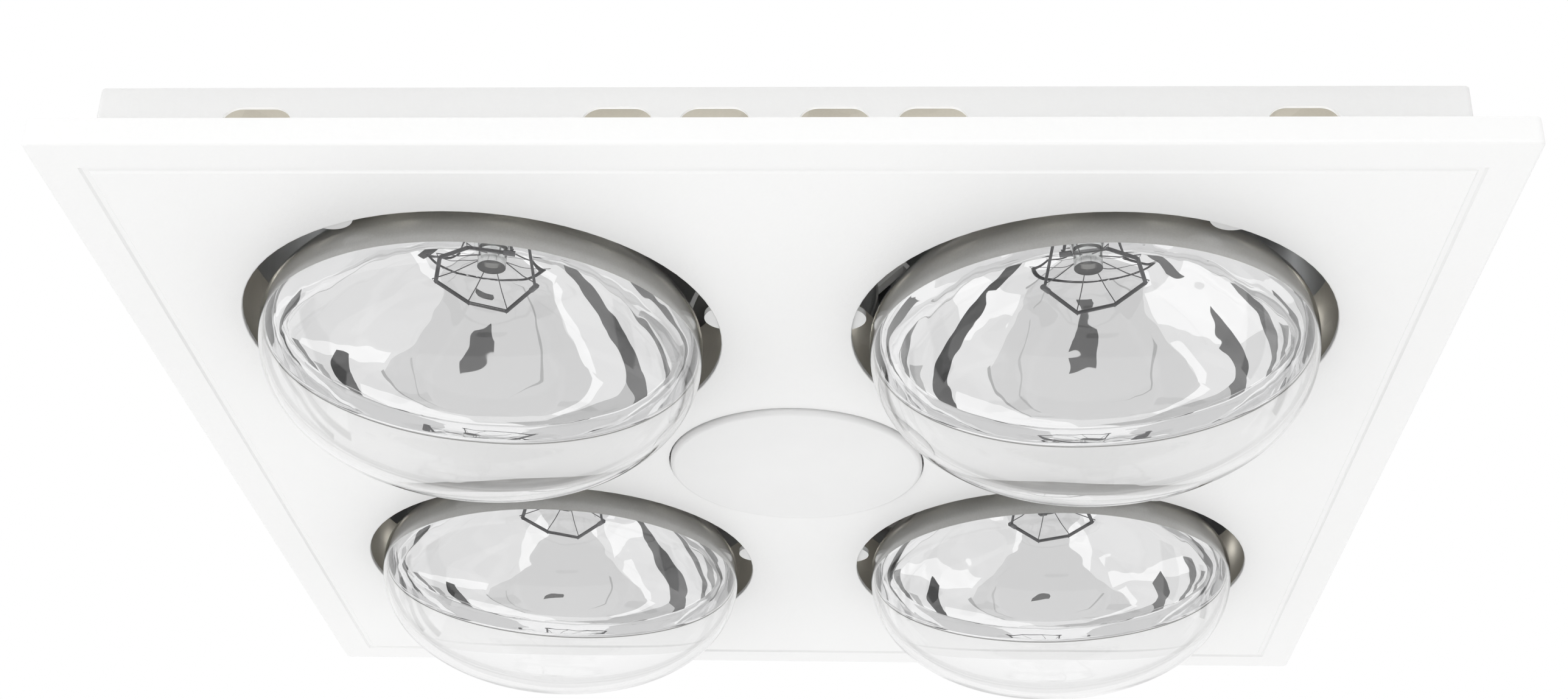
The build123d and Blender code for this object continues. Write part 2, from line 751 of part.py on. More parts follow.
with BuildPart() as cap:
    cone_z = cap_end_z - cap_tip_height - cap_cone_height
    with BuildSketch(Plane.XY.offset(cap_z)):
        Circle(cap_r)
    extrude(amount=cone_z - cap_z)
    with BuildSketch(Plane.XY.offset(cone_z)):
        Circle(cap_r)
    with BuildSketch(Plane.XY.offset(cap_end_z - cap_tip_height)):
        Circle(cap_tip_r)
    loft()
    with BuildSketch(Plane.XY.offset(cap_end_z - cap_tip_height)):
        Circle(cap_tip_r)
    extrude(amount=cap_tip_height)
    with BuildSketch(Plane.XZ):
        with Locations([(cap_r, cone_z - thread_pitch * (turn + 1 / 2)) for turn in range(thread_turns)]):
            Circle(thread_groove_r)
    revolve(axis=Axis.Z, mode=Mode.SUBTRACT)

for number, place in lamp_places.items():
    for piece, form in (("glass", glass), ("reflector", reflector), ("stem", stem),
                        ("filament", filament), ("cap", cap)):
        with BuildPart() as copy:
            with Locations(place):
                add(form.part)
        keep(copy, f"lamp_{number}_{piece}")

# Centre light

diffuser_z = face_z - light_proud
tray_floor_z = shield_z - tray_floor
with BuildPart() as led_diffuser:
    with BuildSketch(Plane.XY.offset(diffuser_z)):
        Circle(light_r)
    extrude(amount=light_proud + rim_height + diffuser_lift)
    fillet(led_diffuser.edges().group_by(Axis.Z)[0], radius=light_edge_r)
    with BuildSketch(Plane.XY.offset(diffuser_z + diffuser_wall)):
        Circle(light_r - diffuser_wall)
    extrude(amount=light_proud + rim_height + diffuser_lift, mode=Mode.SUBTRACT)
keep(led_diffuser, "led_diffuser")

with BuildPart() as led_tray:
    with BuildSketch(Plane.XY.offset(tray_rim_z)):
        Circle(light_r + face_gap + tray_wall)
    extrude(amount=shield_z - tray_rim_z)
    with BuildSketch(Plane.XY.offset(tray_rim_z)):
        Circle(light_r + face_gap)
    extrude(amount=tray_floor_z - tray_rim_z, mode=Mode.SUBTRACT)
    with BuildSketch(Plane.XY.offset(tray_floor_z)):
        Circle(shield_wire_hole_r)
        with PolarLocations(light_screw_circle_r, light_screws_count):
            Circle(small_screw_r + screw_gap)
    extrude(amount=tray_floor, mode=Mode.SUBTRACT)
keep(led_tray, "led_tray")

with BuildPart() as led_board:
    with BuildSketch(Plane.XY.offset(tray_floor_z)):
        Circle(board_r)
        Circle(shield_wire_hole_r, mode=Mode.SUBTRACT)
        with PolarLocations(light_screw_circle_r, light_screws_count):
            Circle(small_screw_r + screw_gap, mode=Mode.SUBTRACT)
    extrude(amount=-board_thickness)
keep(led_board, "led_board")

with BuildPart() as led_chips:
    with BuildSketch(Plane.XY.offset(tray_floor_z - board_thickness)):
        for count, ring_r in chip_rings.items():
            with PolarLocations(ring_r, count, start_angle=180 / count):
                Rectangle(chip_width, chip_width)
    extrude(amount=-chip_height)
keep(led_chips, "led_chips")

light_screw_spots = PolarLocations(light_screw_circle_r, light_screws_count).local_locations
light_screw_shapes = [cross_head_screw(Plane(origin=(spot.position.X, spot.position.Y, shield_top_z)),
                                       small_screw_r, small_screw_head_r,
                                       shield_sheet + tray_floor + board_thickness)
                      for spot in light_screw_spots]
with BuildPart() as light_screws:
    add(light_screw_shapes)
keep(light_screws, "light_screws")

with BuildPart() as led_driver:
    with BuildSketch(Plane(origin=(0, driver_y, housing_top_z))):
        Rectangle(driver_width, driver_length)
    extrude(amount=-driver_height)
    fillet(led_driver.edges().filter_by(Axis.Z), radius=driver_edge_r)
    with BuildSketch(Plane(origin=(0, driver_y, housing_top_z))):
        Rectangle(driver_width / 2, driver_length + 2 * driver_ear)
    extrude(amount=-driver_ear_thickness)
keep(led_driver, "led_driver")

# Exhaust fan

fan_centre = Vector(0, impeller_y + impeller_width / 2, fan_z)

with BuildPart() as fan_ring:
    with BuildSketch(across(ring_start_y)):
        Circle(duct_bore_r + ring_wall)
    extrude(amount=ring_end_y - ring_start_y)
    with BuildSketch(across(ring_end_y)):
        Rectangle(ring_flange_width, ring_flange_width)
    extrude(amount=-ring_flange_thickness)
    with BuildSketch(across(ring_start_y)):
        Circle(duct_bore_r)
    extrude(amount=ring_end_y - ring_start_y, mode=Mode.SUBTRACT)
    with BuildSketch(across(ring_start_y)):
        Circle(motor_r + clamp_wall)
    extrude(amount=clamp_length)
    arm_reach = duct_bore_r + ring_wall / 2
    with BuildSketch(across(ring_start_y)):
        with PolarLocations(arm_reach / 2, arm_count, start_angle=180 / arm_count):
            Rectangle(arm_reach, arm_width)
    extrude(amount=arm_length)
    with BuildSketch(across(ring_start_y)):
        Circle(motor_r)
    extrude(amount=clamp_length, mode=Mode.SUBTRACT)
    with BuildSketch(across(ring_end_y)):
        with GridLocations(2 * spigot_screw_place, 2 * spigot_screw_place, 2, 2):
            Circle(screw_r + screw_gap)
    extrude(amount=-ring_flange_thickness, mode=Mode.SUBTRACT)
keep(fan_ring, "fan_ring")

with BuildPart() as motor_case:
    with BuildSketch(across(motor_start_y)):
        Circle(motor_r)
    extrude(amount=motor_length)
    fillet(motor_case.edges().filter_by(GeomType.CIRCLE), radius=motor_edge_r)
    with BuildSketch(across(motor_start_y + motor_case_wall)):
        Circle(motor_r - motor_case_wall)
    extrude(amount=motor_length - 2 * motor_case_wall, mode=Mode.SUBTRACT)
    for start_y, inward in ((motor_start_y, 1), (motor_end_y, -1)):
        with BuildSketch(across(start_y + inward * motor_case_wall)):
            Circle(bearing_r + motor_case_wall)
            Circle(bearing_r, mode=Mode.SUBTRACT)
        extrude(amount=inward * bearing_width)
    with BuildSketch(across(motor_start_y)):
        Circle(shaft_r + screw_gap)
    extrude(amount=motor_length, mode=Mode.SUBTRACT)
keep(motor_case, "motor_case")

motor_mid_y = (motor_start_y + motor_end_y) / 2
stator_inner_r = rotor_r + face_gap
stator_outer_r = motor_r - motor_case_wall
with BuildPart() as motor_stator:
    with BuildSketch(across(motor_mid_y - stator_length / 2)):
        Circle(stator_outer_r)
        Circle(stator_inner_r, mode=Mode.SUBTRACT)
    extrude(amount=stator_length)
keep(motor_stator, "motor_stator")

with BuildPart() as motor_windings:
    for start_y, outward in ((motor_mid_y - stator_length / 2, -1), (motor_mid_y + stator_length / 2, 1)):
        with BuildSketch(across(start_y)):
            Circle(stator_outer_r - winding_wall)
            Circle(stator_inner_r + winding_wall, mode=Mode.SUBTRACT)
        extrude(amount=outward * winding_length)
keep(motor_windings, "motor_windings")

with BuildPart() as motor_bearings:
    for start_y, inward in ((motor_start_y + motor_case_wall, 1), (motor_end_y - motor_case_wall, -1)):
        with BuildSketch(across(start_y)):
            Circle(bearing_r)
            Circle(shaft_r + running_gap, mode=Mode.SUBTRACT)
        extrude(amount=inward * bearing_width)
keep(motor_bearings, "motor_bearings")

with BuildPart() as motor_rotor:
    with BuildSketch(across(motor_mid_y - rotor_length / 2)):
        Circle(rotor_r)
    extrude(amount=rotor_length)
    with BuildSketch(across(motor_start_y - shaft_overhang)):
        Circle(shaft_r)
    extrude(amount=shaft_end_y - motor_start_y + shaft_overhang)
keep(motor_rotor, "motor_rotor")


def blade_section(turn, radius, pitch):
    out = Vector(cos(turn), 0, sin(turn))
    tangent = Vector(-sin(turn), 0, cos(turn))
    chord = tangent * cos(radians(pitch)) + Vector(0, 1, 0) * sin(radians(pitch))
    return Plane(origin=fan_centre + out * radius, x_dir=chord, z_dir=out)


with BuildPart() as impeller:
    with BuildSketch(across(impeller_y)):
        Circle(hub_r)
    extrude(amount=impeller_width)
    fillet(impeller.edges().filter_by(GeomType.CIRCLE).sort_by(Axis.Y)[-1], radius=hub_edge_r)
    for blade in range(blade_count):
        turn = 2 * pi * blade / blade_count
        with BuildSketch(blade_section(turn, hub_r - blade_thickness, root_pitch)):
            Rectangle(root_chord, blade_thickness)
        with BuildSketch(blade_section(turn, impeller_r, tip_pitch)):
            Rectangle(tip_chord, blade_thickness)
        loft()
    with BuildSketch(across(impeller_y)):
        Circle(hub_r - hub_hollow_wall)
    extrude(amount=impeller_width - hub_hollow_wall, mode=Mode.SUBTRACT)
    with BuildSketch(across(impeller_y)):
        Circle(hub_boss_r)
    extrude(amount=impeller_width)
    with BuildSketch(across(impeller_y)):
        Circle(shaft_r)
    extrude(amount=impeller_width, mode=Mode.SUBTRACT)
    tip_trim = hypot(impeller_r, tip_chord / 2) + overrun
    with BuildSketch(across(impeller_y - overrun)):
        Circle(tip_trim)
        Circle(impeller_r, mode=Mode.SUBTRACT)
    extrude(amount=impeller_width + 2 * overrun, mode=Mode.SUBTRACT)
keep(impeller, "impeller")

# Duct spigot and back-draft flap

spigot_r = duct_bore_r + spigot_wall
with BuildPart() as duct_spigot:
    with BuildSketch(across(wall_r)):
        Rectangle(ring_flange_width, ring_flange_width)
    extrude(amount=spigot_flange_thickness)
    with BuildSketch(across(wall_r)):
        Circle(spigot_r)
    extrude(amount=spigot_length)
    end_edge = duct_spigot.edges().filter_by(GeomType.CIRCLE).sort_by(Axis.Y)[-1]
    fillet(end_edge, radius=spigot_edge_r)
    with BuildSketch(across(wall_r)):
        Circle(duct_bore_r)
    extrude(amount=spigot_length, mode=Mode.SUBTRACT)
    with BuildSketch(across(wall_r)):
        with GridLocations(2 * spigot_screw_place, 2 * spigot_screw_place, 2, 2):
            Circle(screw_r + screw_gap)
    extrude(amount=spigot_flange_thickness, mode=Mode.SUBTRACT)
    seat_inner_r = duct_bore_r - seat_width
    # The lower seat lies upstream of the flap and the upper one downstream of it.
    for half, seat_y in ((-1, flap_y - flap_thickness / 2 - face_gap - seat_thickness),
                         (1, flap_y + flap_thickness / 2 + face_gap)):
        with BuildSketch(across(seat_y)):
            Circle(duct_bore_r)
            Circle(seat_inner_r, mode=Mode.SUBTRACT)
            edge = flap_pivot_lift + half * seat_clearance
            with Locations((0, edge - half * duct_bore_r)):
                Rectangle(2 * duct_bore_r, 2 * duct_bore_r, mode=Mode.SUBTRACT)
        extrude(amount=seat_thickness)
    with BuildSketch(Plane(origin=(-spigot_r, flap_y, fan_z + flap_pivot_lift), z_dir=(1, 0, 0))):
        Circle(flap_pin_r)
    extrude(amount=2 * spigot_r, mode=Mode.SUBTRACT)
keep(duct_spigot, "duct_spigot")

pin_half = spigot_r - pin_inset
with BuildPart() as flap_pin:
    with BuildSketch(Plane(origin=(-pin_half, flap_y, fan_z + flap_pivot_lift), z_dir=(1, 0, 0))):
        Circle(flap_pin_r)
    extrude(amount=2 * pin_half)
keep(flap_pin, "flap_pin")

flap_r = duct_bore_r - flap_gap
with BuildPart() as backdraft_flap:
    with BuildSketch(across(flap_y - flap_thickness / 2)):
        Circle(flap_r)
    extrude(amount=flap_thickness)
    knuckle_half = flap_r - knuckle_inset
    with BuildSketch(Plane(origin=(-knuckle_half, flap_y, fan_z + flap_pivot_lift), z_dir=(1, 0, 0))):
        Circle(knuckle_r)
    extrude(amount=2 * knuckle_half)
    with BuildSketch(Plane(origin=(-spigot_r, flap_y, fan_z + flap_pivot_lift), z_dir=(1, 0, 0))):
        Circle(flap_pin_r + running_gap)
    extrude(amount=2 * spigot_r, mode=Mode.SUBTRACT)
keep(backdraft_flap, "backdraft_flap")

spigot_screw_planes = [Plane(origin=(sx * spigot_screw_place, wall_r + spigot_flange_thickness,
                                     fan_z + sz * spigot_screw_place), z_dir=(0, 1, 0))
                       for sx in (-1, 1) for sz in (-1, 1)]
spigot_screw_shapes = [cross_head_screw(p, screw_r, screw_head_r, screw_length) for p in spigot_screw_planes]
with BuildPart() as spigot_screws:
    add(spigot_screw_shapes)
keep(spigot_screws, "spigot_screws")

# Terminal box, block, cover and cable gland

gland_z = box_z + box_height * gland_place_share
with BuildPart() as terminal_box:
    with BuildSketch(Plane.XY.offset(box_z)):
        RectangleRounded(box_length, box_width, box_edge_r + box_wall)
    extrude(amount=box_height)
    with BuildSketch(Plane.XY.offset(box_z + box_wall)):
        RectangleRounded(box_length - 2 * box_wall, box_width - 2 * box_wall, box_edge_r)
    extrude(amount=box_height, mode=Mode.SUBTRACT)
    with BuildSketch(Plane.XY.offset(box_z + box_wall)):
        with Locations((-cover_screw_place, 0), (cover_screw_place, 0)):
            Circle(cover_post_r)
            Circle(small_screw_r + screw_gap, mode=Mode.SUBTRACT)
    extrude(amount=box_height - box_wall - cover_lip)
    with BuildSketch(Plane.XY.offset(box_z)):
        Circle(lid_wire_hole_r)
    extrude(amount=box_wall, mode=Mode.SUBTRACT)
    with BuildSketch(Plane(origin=(0, -box_width / 2, gland_z), x_dir=(1, 0, 0), z_dir=(0, -1, 0))):
        Circle(gland_thread_r)
    extrude(amount=-box_wall, mode=Mode.SUBTRACT)
keep(terminal_box, "terminal_box")

cover_z = box_z + box_height
with BuildPart() as terminal_cover:
    with BuildSketch(Plane.XY.offset(cover_z)):
        RectangleRounded(box_length, box_width, box_edge_r + box_wall)
    extrude(amount=cover_thickness)
    fillet(terminal_cover.faces().sort_by(Axis.Z)[-1].edges(), radius=cover_thickness / 2)
    lip_gap = box_wall + face_gap
    with BuildSketch(Plane.XY.offset(cover_z)):
        RectangleRounded(box_length - 2 * lip_gap, box_width - 2 * lip_gap, box_edge_r)
        RectangleRounded(box_length - 2 * lip_gap - 2 * box_wall, box_width - 2 * lip_gap - 2 * box_wall,
                         box_edge_r, mode=Mode.SUBTRACT)
    extrude(amount=face_gap - cover_lip)
    with BuildSketch(Plane.XY.offset(cover_z)):
        with Locations((-cover_screw_place, 0), (cover_screw_place, 0)):
            Circle(small_screw_r + screw_gap)
    extrude(amount=cover_thickness, mode=Mode.SUBTRACT)
keep(terminal_cover, "terminal_cover")

block_z = box_z + box_wall
block_y = box_width / 2 - box_wall - block_width / 2 - face_gap
block_start = -way_width * (block_ways - 1) / 2
terminal_points = [(block_start + way * way_width, block_y + side * terminal_screw_spread)
                   for way in range(block_ways) for side in (-1, 1)]
with BuildPart() as terminal_block:
    with BuildSketch(Plane(origin=(0, block_y, block_z))):
        Rectangle(way_width * block_ways, block_width)
        with Locations([(block_start + way_width * (way + 1 / 2), 0) for way in range(block_ways - 1)]):
            Rectangle(box_wall / 2, block_width / 2, mode=Mode.SUBTRACT)
    extrude(amount=block_height)
    with BuildSketch(Plane.XY.offset(block_z + block_height)):
        with Locations(terminal_points):
            Circle(terminal_screw_r + screw_gap)
    extrude(amount=-2 * terminal_sink, mode=Mode.SUBTRACT)
keep(terminal_block, "terminal_block")

cover_screw_planes = [Plane(origin=(side * cover_screw_place, 0, cover_z + cover_thickness)) for side in (-1, 1)]
cover_screw_shapes = [cross_head_screw(p, small_screw_r, small_screw_head_r, screw_length)
                      for p in cover_screw_planes]
with BuildPart() as terminal_screws:
    with BuildSketch(Plane.XY.offset(block_z + block_height - 2 * terminal_sink)):
        with Locations(terminal_points):
            Circle(terminal_screw_r)
    extrude(amount=terminal_sink)
    with BuildSketch(Plane.XY.offset(block_z + block_height - terminal_sink)):
        with Locations(terminal_points):
            Rectangle(2 * terminal_screw_r, recess_width)
    extrude(amount=-recess_depth, mode=Mode.SUBTRACT)
    add(cover_screw_shapes)
keep(terminal_screws, "terminal_screws")

gland_plane = Plane(origin=(0, -box_width / 2, gland_z), x_dir=(1, 0, 0), z_dir=(0, -1, 0))
with BuildPart() as cable_gland:
    with BuildSketch(gland_plane):
        RegularPolygon(gland_r, 6)
    extrude(amount=gland_body_length / 2)
    with BuildSketch(gland_plane.offset(gland_body_length / 2)):
        Circle(gland_dome_r)
    extrude(amount=gland_body_length / 2)
    fillet(cable_gland.edges().filter_by(GeomType.CIRCLE).sort_by(Axis.Y)[0], radius=gland_dome_edge_r)
    with BuildSketch(gland_plane):
        Circle(gland_thread_r - running_gap)
    extrude(amount=-box_wall - gland_nut_length)
    with BuildSketch(gland_plane.offset(-box_wall)):
        RegularPolygon(gland_nut_r, 6)
    extrude(amount=-gland_nut_length)
    with BuildSketch(gland_plane.offset(gland_body_length)):
        Circle(gland_bore_r)
    extrude(amount=-gland_body_length - box_wall - gland_nut_length, mode=Mode.SUBTRACT)
keep(cable_gland, "cable_gland")
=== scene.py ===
import json
import math
import bpy
import numpy as np
from mathutils import Euler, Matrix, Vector


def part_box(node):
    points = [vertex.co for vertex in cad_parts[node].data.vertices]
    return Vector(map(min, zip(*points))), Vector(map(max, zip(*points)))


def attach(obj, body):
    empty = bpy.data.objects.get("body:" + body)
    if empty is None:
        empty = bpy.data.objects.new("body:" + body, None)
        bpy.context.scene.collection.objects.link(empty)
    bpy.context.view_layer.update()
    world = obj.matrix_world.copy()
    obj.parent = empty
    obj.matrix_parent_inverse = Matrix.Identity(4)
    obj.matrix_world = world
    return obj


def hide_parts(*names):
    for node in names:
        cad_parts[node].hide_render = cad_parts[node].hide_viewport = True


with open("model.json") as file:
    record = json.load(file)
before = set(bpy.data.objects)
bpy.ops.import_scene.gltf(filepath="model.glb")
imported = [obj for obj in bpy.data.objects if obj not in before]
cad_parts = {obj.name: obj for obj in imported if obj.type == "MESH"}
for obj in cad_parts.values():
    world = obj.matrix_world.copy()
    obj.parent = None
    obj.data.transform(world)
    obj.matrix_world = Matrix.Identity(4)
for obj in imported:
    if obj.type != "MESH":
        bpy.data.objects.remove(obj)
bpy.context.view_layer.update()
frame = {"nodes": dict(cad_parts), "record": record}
print("frame:", len(frame["nodes"]), "nodes")

up = Vector((0, 0, 1))


class Wire:  # a value on its way between shader nodes
    def __init__(self, paint, socket):
        self.paint = paint
        self.socket = socket

    def maths(self, operation, first, second):
        return self.paint.node("Math", {"operation": operation}, {0: first, 1: second})

    def __add__(self, other):
        return self.maths("ADD", self, other)

    def __radd__(self, other):
        return self.maths("ADD", other, self)

    def __mul__(self, other):
        return self.maths("MULTIPLY", self, other)


class Paint:  # one material and its nodes
    def __init__(self, name, **look):
        self.material = bpy.data.materials.new(name)
        self.material.use_nodes = True
        self.tree = self.material.node_tree
        self.shader = self.tree.nodes["Principled BSDF"]
        self.output = self.tree.nodes["Material Output"]
        for words, value in look.items():
            self.set(words.replace("_", " "), value)

    def node(self, kind, settings=None, inputs=None, give=0):
        made = self.tree.nodes.new("ShaderNode" + kind)
        for key, value in (settings or {}).items():
            setattr(made, key, value)
        for key, value in (inputs or {}).items():
            self.feed(made.inputs[key], value)
        return Wire(self, made.outputs[give])

    def feed(self, socket, value):
        if isinstance(value, Wire):
            self.tree.links.new(value.socket, socket)
        elif isinstance(value, tuple) and len(value) == 3 and socket.type == "RGBA":
            socket.default_value = (*value, 1)
        else:
            socket.default_value = value

    def set(self, name, value):
        self.feed(self.shader.inputs[name], value)

    def place(self):
        return self.node("TexCoord", give="Object")

    def noise(self, scale, detail, rough=0.5):
        return self.node("TexNoise", {}, {"Vector": self.place(), "Scale": scale,
                                          "Detail": detail, "Roughness": rough})

    def between(self, mask, low, high):  # a number from low to high as the mask goes from 0 to 1
        return low + mask * (high - low)

    def blend(self, mask, low, high):  # the same for two colours
        return self.node("Mix", {"data_type": "RGBA"}, {0: mask, 6: low, 7: high}, give=2)

    def bump(self, height, distance):
        self.set("Normal", self.node("Bump", {}, {"Height": height, "Distance": distance,
                                                  "Strength": 1.0}))


def shade(colour, share):
    return tuple(c * share for c in colour)


def powderCoat(name, colour, shine=0.34):  # baked white paint with a fine orange peel
    paint = Paint(name, Specular_IOR_Level=0.45)
    cloud = paint.noise(scale=22, detail=2)
    gloss = paint.noise(scale=60, detail=2)
    paint.set("Base Color", paint.blend(cloud, low=shade(colour, 0.985), high=colour))
    paint.set("Roughness", paint.between(gloss, low=shine - 0.05, high=shine + 0.08))
    paint.bump(paint.noise(scale=850, detail=2), distance=0.00006)
    return paint.material


def galvanised(name, dark, light, metal=0.85):  # zinc flowers on dipped steel
    paint = Paint(name, Metallic=metal, Specular_IOR_Level=0.4)
    cells = paint.node("TexVoronoi", {}, {"Vector": paint.place(), "Scale": 120}, give="Color")
    flowers = paint.node("RGBToBW", {}, {0: cells})
    dust = paint.noise(scale=35, detail=5)
    speck = paint.noise(scale=1600, detail=2, rough=0.7)
    mixed = flowers * 0.45 + dust * 0.25 + speck * 0.3
    paint.set("Base Color", paint.blend(mixed, low=dark, high=light))
    paint.set("Roughness", paint.between(flowers, low=0.36, high=0.52))
    paint.bump(paint.noise(scale=500, detail=3), distance=0.00004)
    return paint.material


def plainMetal(name, colour, rough, grain=900):  # turned, drawn or plated metal
    paint = Paint(name, Metallic=1.0)
    marks = paint.noise(scale=grain, detail=3)
    paint.set("Base Color", paint.blend(marks, low=shade(colour, 0.88), high=colour))
    paint.set("Roughness", paint.between(marks, low=rough - 0.06, high=rough + 0.08))
    paint.bump(marks, distance=0.00002)
    return paint.material


def moulded(name, colour, rough=0.45, grain=1400, depth=0.00003):  # plastic or glazed ceramic
    paint = Paint(name, Specular_IOR_Level=0.5)
    cloud = paint.noise(scale=40, detail=3)
    fine = paint.noise(scale=grain, detail=2)
    paint.set("Base Color", paint.blend(cloud, low=shade(colour, 0.95), high=colour))
    paint.set("Roughness", paint.between(fine, low=rough - 0.05, high=rough + 0.07))
    paint.bump(fine, distance=depth)
    return paint.material


def clearGlass(name, tint, rough=0.0):
    paint = Paint(name, Base_Color=tint, Transmission_Weight=1.0, IOR=1.47, Roughness=rough)
    paint.bump(paint.noise(scale=26, detail=1), distance=0.00012)
    return paint.material


def lampMirror(name):  # aluminium laid on the inside of the bulb
    paint = Paint(name, Metallic=1.0)
    stain = paint.noise(scale=45, detail=3)
    paint.set("Base Color", paint.blend(stain, low=(0.93, 0.93, 0.935), high=(0.97, 0.97, 0.97)))
    paint.set("Roughness", paint.between(stain, low=0.01, high=0.03))
    paint.bump(paint.noise(scale=38, detail=2), distance=0.0006)
    return paint.material


def mirrorBacking(name):  # the outer face of the mirror, dull and grainy
    paint = Paint(name, Specular_IOR_Level=0.3)
    cloud = paint.noise(scale=70, detail=4)
    speck = paint.noise(scale=1800, detail=2, rough=0.7)
    mixed = cloud * 0.45 + speck * 0.55
    paint.set("Base Color", paint.blend(mixed, low=(0.74, 0.73, 0.69), high=(1.0, 1.0, 0.99)))
    paint.set("Roughness", paint.between(paint.noise(scale=300, detail=2), low=0.45, high=0.6))
    paint.bump(paint.noise(scale=900, detail=2), distance=0.00003)
    return paint.material


paints = {
    "white_paint": powderCoat("whitePaint", (0.872, 0.872, 0.868)),
    "white_tab": powderCoat("tabPaint", (0.86, 0.86, 0.855), 0.4),
    "spring_steel": plainMetal("springSteel", (0.55, 0.56, 0.58), 0.24),
    "galvanised_steel": galvanised("galvanisedSteel", (0.46, 0.47, 0.48), (0.64, 0.65, 0.66)),
    # a darker, olive copy of the galvanised steel: painted shade for the shield and collars where
    # they show in the gap round the bulbs
    "gap_shade_steel": galvanised("gapShadeSteel", (0.35, 0.325, 0.275), (0.52, 0.495, 0.435),
                               metal=0.25),
    "zinc_screws": plainMetal("zincPlate", (0.66, 0.66, 0.64), 0.3),
    "ceramic": moulded("glazedCeramic", (0.85, 0.82, 0.75), 0.22),
    "brass": plainMetal("brass", (0.72, 0.55, 0.26), 0.3),
    "lamp_glass": clearGlass("lampGlass", (1.0, 1.0, 1.0)),
    "lamp_mirror": lampMirror("lampMirror"),
    "mirror_backing": mirrorBacking("mirrorBacking"),
    "stem_glass": clearGlass("stemGlass", (0.98, 0.99, 0.985), 0.12),
    "tungsten": plainMetal("tungsten", (0.17, 0.17, 0.175), 0.4, 3000),
    "lamp_cap": plainMetal("capMetal", (0.66, 0.65, 0.62), 0.32),
    "opal_plastic": moulded("opalPlastic", (0.835, 0.835, 0.832), 0.42, 2400, 0.00001),
    "tray_plastic": moulded("trayPlastic", (0.78, 0.78, 0.77)),
    "led_board": moulded("boardMask", (0.86, 0.86, 0.84), 0.3),
    "led_chip": moulded("chipPhosphor", (0.82, 0.68, 0.22), 0.35),
    "driver_case": moulded("driverCase", (0.76, 0.76, 0.74), 0.5),
    "fan_plastic": moulded("fanPlastic", (0.62, 0.62, 0.61), 0.5),
    "impeller_plastic": moulded("impellerPlastic", (0.035, 0.035, 0.037), 0.42),
    "motor_steel": plainMetal("motorSteel", (0.5, 0.51, 0.52), 0.34),
    "stator_iron": plainMetal("statorIron", (0.1, 0.1, 0.105), 0.5),
    "copper_winding": plainMetal("copperWinding", (0.55, 0.22, 0.08), 0.35, 2500),
    "bearing_steel": plainMetal("bearingSteel", (0.6, 0.6, 0.6), 0.18),
    "rotor_steel": plainMetal("rotorSteel", (0.4, 0.41, 0.42), 0.28),
    "spigot_plastic": moulded("spigotPlastic", (0.76, 0.76, 0.75), 0.46),
    "flap_plastic": moulded("flapPlastic", (0.68, 0.68, 0.68), 0.46),
    "box_plastic": moulded("boxPlastic", (0.74, 0.74, 0.72), 0.48),
    "block_plastic": moulded("blockPlastic", (0.78, 0.76, 0.66), 0.36),
    "gland_plastic": moulded("glandPlastic", (0.03, 0.03, 0.032), 0.44),
}
slotOf = {entry["node"]: entry["material_slot"] for entry in frame["record"]["subparts"]}
for node in ("heat_shield", "shield_collars"):  # the same steel, darker and olive: painted shade where it shows in the gap round the bulbs
    slotOf[node] = "gap_shade_steel"
for node, cad in frame["nodes"].items():
    for holder in cad.material_slots:
        holder.material = paints[slotOf[node]]
print("finishes:", len(paints))


sharpEdge = 80  # degrees


def addMesh(name, shape, slotName, body, standsFor, finish=None):
    points, faces = shape
    mesh = bpy.data.meshes.new(name)
    mesh.from_pydata([tuple(p) for p in points], [], faces)
    mesh.materials.append(paints[finish or slotName])
    mesh.polygons.foreach_set("use_smooth", [True] * len(mesh.polygons))
    mesh.set_sharp_from_angle(angle=math.radians(sharpEdge))
    mesh.update()
    piece = bpy.data.objects.new(name, mesh)
    bpy.context.collection.objects.link(piece)
    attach(piece, body)
    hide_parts(standsFor)


def smoothThrough(outline, count):  # a natural cubic curve through a few points, as count points
    spots = np.array(outline, float)
    steps = np.linalg.norm(np.diff(spots, axis=0), axis=1)
    t = np.concatenate(([0], np.cumsum(steps)))
    total = len(spots)
    grid = np.zeros((total, total))
    right = np.zeros((total, 2))
    grid[0, 0] = grid[-1, -1] = 1
    for i in range(1, total - 1):
        grid[i, i - 1:i + 2] = steps[i - 1], 2 * (steps[i - 1] + steps[i]), steps[i]
        right[i] = 3 * ((spots[i + 1] - spots[i]) / steps[i]
                        - (spots[i] - spots[i - 1]) / steps[i - 1])
    bend = np.linalg.solve(grid, right)
    result = []
    for s in np.linspace(0, t[-1], count):
        i = min(int(np.searchsorted(t, s, side="right")) - 1, total - 2)
        twist = (bend[i + 1] - bend[i]) / (3 * steps[i])
        slope = (spots[i + 1] - spots[i]) / steps[i] - steps[i] * (2 * bend[i] + bend[i + 1]) / 3
        u = s - t[i]
        result.append(tuple(spots[i] + slope * u + bend[i] * u ** 2 + twist * u ** 3))
    return result


def turned(outline, centre, around):  # points and faces of an outline spun about an upright axis
    points, faces, rings = [], [], []
    for r, z in outline:
        if r < 1e-6:  # on the axis
            rings.append([len(points)])
            points.append(centre + up * z)
            continue
        rings.append(list(range(len(points), len(points) + around)))
        for k in range(around):
            turn = 2 * math.pi * k / around
            points.append(centre + Vector((r * math.cos(turn), r * math.sin(turn), z)))
    for low, high in zip(rings, rings[1:]):
        for k in range(around):
            n = (k + 1) % around
            if len(low) == 1:
                faces.append((low[0], high[n], high[k]))
            elif len(high) == 1:
                faces.append((low[k], low[n], high[0]))
            else:
                faces.append((low[k], low[n], high[n], high[k]))
    return points, faces


